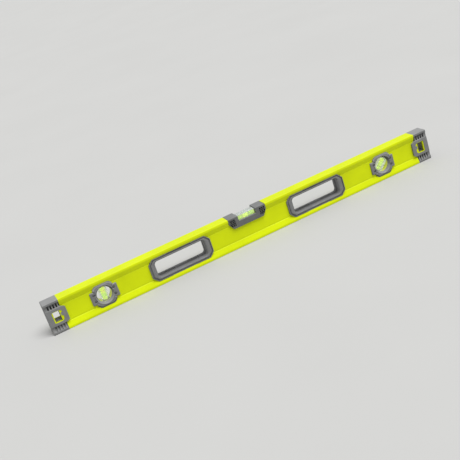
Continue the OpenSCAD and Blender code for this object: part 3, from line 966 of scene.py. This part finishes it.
def vial_small_parts(vial, place, bore_r, plug_end, plug_l, line_at, bubble, body):
    """The plug, reading lines and bubble of a vial. bubble is (radius, half length, place)."""
    r = bore_r - 0.02
    inner = plug_end - math.copysign(plug_l, plug_end)
    outwards = math.copysign(1, plug_end)
    profile = [(r - 0.35, inner), (r, inner + outwards * 0.35)] + [
        (x, plug_end - outwards * depth) for x, depth in (
            (r, 0.3), (r - 0.3, 0.0), (r - 1.3, 0.0), (r - 1.6, 0.5), (0.4, 0.6),
        )
    ]
    piece_from(f"{vial}_plug", turned(profile, 40, place), "plug_plastic", node=f"{vial}_vial_plug")
    line_in, line_out = bore_r + 0.02, bore_r + LINE_DEEP
    rings = [
        ring_mesh(line_in, line_out, at - LINE_HALF, at + LINE_HALF, place) for at in (-line_at, line_at)
    ]
    piece_from(f"{vial}_lines", joined(rings), "line_ink", node=f"{vial}_vial_lines")
    bubble_r, half_l, bubble_place = bubble
    air = turned(bubble_profile(bubble_r, half_l, BUBBLE_TIP), 40, bubble_place)
    piece_from(f"{vial}_air", air, "bubble", body=body, node=f"{vial}_vial_bubble")


def screw_profile(tip, seat):
    """A screw's (radius, height) points from its tip to the top of its head."""
    thread = []
    at = -tip + 0.6
    while at < -tip + THREAD_L:
        thread += [(SHANK_R - THREAD_DEPTH, at), (SHANK_R, at + THREAD_DEPTH)]
        at += THREAD_PITCH
    point = [(0.35, -tip), (SHANK_R - 0.3, -tip + 0.5)]
    return point + thread + [(SHANK_R - 0.1, at + 0.2)] + [(r, seat + h) for r, h in SCREW_HEAD]


def vial_screws(name, node):
    """The four screws of a pair of covers, each with a hexagon socket."""
    low, high = span(node)
    seat = -(span("plumb_vial_front_cover")[0].y + POCKET_D)
    profile = screw_profile(high.y, seat)
    parts = []
    for x in (low.x + HEAD_R, high.x - HEAD_R):
        for z in (low.z + HEAD_R, high.z - HEAD_R):
            place = Matrix.Translation(Vector((x, 0, z))) @ Matrix.Rotation(math.radians(90), 4, "X")
            screw = turned(profile, 28, place)
            socket = capped([[(a, b, seat + h) for a, b in circle(SOCKET_R, 6)] for h in (0.4, 2.0)])
            bmesh.ops.transform(socket, matrix=place, verts=socket.verts)
            parts.append(minus(screw, socket))
    piece_from(name, joined(parts), "screw_steel", node=node, sharp=34)


def sleeve(name, node, lean):
    """The yellow ring that lines a round window, notched for the vial block."""
    low, high = span(node)
    cx = (low.x + high.x) / 2
    outer = (high.x - low.x) / 2
    place = Matrix.Translation(Vector((cx, 0, MID_Z))) @ Matrix.Rotation(math.radians(90), 4, "X")
    ring = ring_mesh(WINDOW_R, outer, low.y, high.y, place, ease=0.3)
    notched = minus(ring, block_slot(cx, lean))
    piece_from(name, notched, "core_plastic", node=node, sharp=30, finish=FINISHES["sleeve"])


BORE_R, BORE_END, PLUG_L, LINE_AT = 4.4, 4.0, 3.7, 5.2
BUBBLE_R, BUBBLE_HALF = BORE_R - 1, 4.5


def round_vial(vial, lean):
    """Everything in and round one round window; lean is the vial's angle from upright in degrees."""
    body = f"{vial}_bubble"
    for face in ("front", "back"):
        vial_cover(f"{vial}_cover_{face}", f"{vial}_vial_{face}_cover", lean)
    low, high = span(f"{vial}_vial_block")
    middle = Vector(((low.x + high.x) / 2, 0, MID_Z))
    turn = Matrix.Rotation(math.radians(lean), 4, "Y")
    place = Matrix.Translation(middle) @ turn
    half = BLOCK_L / 2
    corner = Vector((BLOCK_W / 2, BLOCK_D / 2, half))
    vial_inside(vial, place, -corner, corner, BORE_R, half - BORE_END, "frost")
    low, high = span(f"{vial}_vial_bubble")
    bubble = (BUBBLE_R, BUBBLE_HALF, Matrix.Translation((low + high) / 2) @ turn)
    vial_small_parts(vial, place, BORE_R, -half, PLUG_L, LINE_AT, bubble, body)
    vial_screws(f"{vial}_cover_screws", f"{vial}_vial_screws")
    sleeve(f"{vial}_window_sleeve", f"{vial}_vial_sleeve", lean)


round_vial("plumb", 0.0)
round_vial("angle", 45.0)

# ---- Centre vial ----------------------------------------------------------------------------

CENTRE_R, CENTRE_END, CENTRE_PLUG_L, CENTRE_LINE_AT = 4.8, 3.4, 3.2, 6.2
CENTRE_BUBBLE_R = 3.4


def centre_vial():
    """The block, liquid, plug, lines and bubble of the vial that lies along the rail."""
    turn = Matrix.Rotation(math.radians(90), 4, "Y")
    low, high = span("centre_vial_liquid")
    bore_z = (low.z + high.z) / 2
    place = Matrix.Translation(Vector((0, 0, bore_z))) @ turn
    low, high = span("centre_vial_block")
    half = high.x
    block_low = Vector((bore_z - high.z, low.y, low.x))
    block_high = Vector((bore_z - low.z, high.y, high.x))
    vial_inside("centre", place, block_low, block_high, CENTRE_R, half - CENTRE_END, "frost_top")
    low, high = span("centre_vial_bubble")
    bubble = (CENTRE_BUBBLE_R, (high.x - low.x) / 2, Matrix.Translation((low + high) / 2) @ turn)
    vial_small_parts(
        "centre", place, CENTRE_R, half, CENTRE_PLUG_L, CENTRE_LINE_AT, bubble, "centre_bubble",
    )


centre_vial()

HOLDER_LOW, HOLDER_HIGH = span("centre_vial_holder")
GAP_HALF, LIP_V = 18.0, 20.0
HOLDER_BEND_V, HOLDER_FOOT_X, HOLDER_FOOT_V = 20.0, 31.0, 8.5
NOTCH_V = 14.0
PAD = [(25.5, 26.5), (25.5, 13.0), (32.8, 13.0), (36.0, 18.5), (36.0, 26.5)]
PAD_CORNER_R, PAD_SINK, PAD_MARGIN = 0.8, 0.35, 0.35
PIT_START_X, PIT_START_V, PIT_PITCH, PIT_ROW = 27.2, 25.2, 3.9, 3.3
PIT_HALF_W, PIT_HALF_H, PIT_DEPTH, PIT_TAPER = 1.65, 2.75, 3.2, 0.45


def pit(x, v, front):
    """A tapered tool that cuts one diamond pit with its middle at (x, v)."""
    face = front * HALF_W
    outline = [(x + PIT_HALF_W, v), (x, v + PIT_HALF_H), (x - PIT_HALF_W, v), (x, v - PIT_HALF_H)]
    return capped([
        [(a, face - front * PIT_DEPTH, MID_Z + b) for a, b in inset(outline, PIT_TAPER)],
        [(a, face - front * PAD_SINK, MID_Z + b) for a, b in outline],
        [(a, face + front, MID_Z + b) for a, b in outline],
    ])


def pad_cutters():
    """Tools that sink a pad into each tower and cut its lattice of diamond pits, front and back."""
    pads, pits = [], []
    for side in (-1, 1):
        edge = [(side * x, v) for x, v in (PAD if side < 0 else reversed(PAD))]
        pad = rounded(edge, PAD_CORNER_R, 4)
        within = inset(pad, PAD_MARGIN)
        for front in (-1, 1):
            face = front * HALF_W
            pads.append(prism_y(pad, face - front * PAD_SINK, face + front))
            cells = []
            for row in range(-1, 6):
                for col in range(-1, 5):
                    x = side * PIT_START_X + side * (col + 0.5 * (row % 2)) * PIT_PITCH
                    cells.append(pit(x, PIT_START_V - row * PIT_ROW, front))
            area = prism_y(within, face - front * 3, face + front * 2)
            pits.append(combined(joined(cells), area, "INTERSECT"))
    return joined(pads), joined(pits)


def holder():
    """The dark holder: a bar with two towers, cut out round the web, the vial block and the pads."""
    outline = [
        (-HOLDER_FOOT_X, HOLDER_FOOT_V), (HOLDER_FOOT_X, HOLDER_FOOT_V), (HOLDER_HIGH.x, HOLDER_BEND_V),
        (HOLDER_HIGH.x, HALF_H), (GAP_HALF, HALF_H), (GAP_HALF, LIP_V), (-GAP_HALF, LIP_V),
        (-GAP_HALF, HALF_H), (HOLDER_LOW.x, HALF_H), (HOLDER_LOW.x, HOLDER_BEND_V),
    ]
    radii = [1.6, 1.6, 1.6, 1.2, 1.6, 1.2, 1.2, 1.6, 1.2, 1.6]
    body = prism_y(rounded(outline, radii, 5), -HALF_W, HALF_W)
    body = soften(body, 0.8, angle=40, segments=3)
    web = box_mesh((-60, -WEB_Y - FIT_GAP, 0), (60, WEB_Y + FIT_GAP, MID_Z + NOTCH_V + BLOCK_GAP))
    low, high = span("centre_vial_block")
    pocket = box_mesh([at - BLOCK_GAP for at in low], [at + BLOCK_GAP for at in high])
    pads, pits = pad_cutters()
    body = minus(body, web, pocket, pads, pits)
    node = "centre_vial_holder"
    piece_from("centre_holder", body, "holder_plastic", node=node, sharp=34, flat_faces=True)


holder()

# ---- Studio ---------------------------------------------------------------------------------

# Metres, millimetres of lens, and degrees about the camera's turned axes
FLOOR_SIZE = 60
CAMERA_AT = (-0.4726, -1.4421, 0.6262)
CAMERA_TURN, CAMERA_TILT, CAMERA_ROLL = -16.84, 90 - 21.39, -18.69
CAMERA_SENSOR, CAMERA_LENS = 36.0, 69.15
KEY_FROM, KEY_ENERGY, KEY_ANGLE = (0.25, -0.40, 1.0), 2.6, 38
SURROUND_STRENGTH = 0.56


def floor():
    """A wide pale floor with very faint clouds."""
    bpy.ops.mesh.primitive_plane_add(size=FLOOR_SIZE)
    plane = bpy.context.object
    plane.name = "floor"
    t = Tree("floor")
    soft = t.ranged(t.noise(3, 3), 0.3, 0.7, 0.0, 1.0)
    colour = t.mix(soft, (0.518, 0.518, 0.508, 1), (0.530, 0.530, 0.520, 1))
    plane.data.materials.append(t.finish(Base_Color=colour, Roughness=0.8, Specular_IOR_Level=0.2))


def key_light():
    """A large soft light high above the level, a little to its right and to the front."""
    light = bpy.data.lights.new("key", "SUN")
    light.energy, light.angle = KEY_ENERGY, math.radians(KEY_ANGLE)
    o = bpy.data.objects.new("key", light)
    bpy.context.scene.collection.objects.link(o)
    o.rotation_euler = Vector(KEY_FROM).to_track_quat("Z", "Y").to_euler()


def camera():
    """The viewpoint: left of the front, above it, and rolled so that the level climbs to the right."""
    data = bpy.data.cameras.new("camera")
    data.sensor_width, data.lens = CAMERA_SENSOR, CAMERA_LENS
    o = bpy.data.objects.new("camera", data)
    bpy.context.scene.collection.objects.link(o)
    turn, tilt, roll = (math.radians(a) for a in (CAMERA_TURN, CAMERA_TILT, CAMERA_ROLL))
    o.matrix_world = Matrix.Translation(Vector(CAMERA_AT)) @ (
        Matrix.Rotation(turn, 4, "Z") @ Matrix.Rotation(tilt, 4, "X") @ Matrix.Rotation(roll, 4, "Z")
    )
    bpy.context.scene.camera = o


def studio():
    """The floor, the key light and an even white surround."""
    floor()
    key_light()
    world = bpy.data.worlds.new("studio")
    bpy.context.scene.world = world
    world.use_nodes = True
    background = world.node_tree.nodes["Background"]
    background.inputs["Color"].default_value = (1.0, 1.0, 1.0, 1)
    background.inputs["Strength"].default_value = SURROUND_STRENGTH
    bpy.context.scene.view_settings.view_transform = "Standard"


studio()
camera()
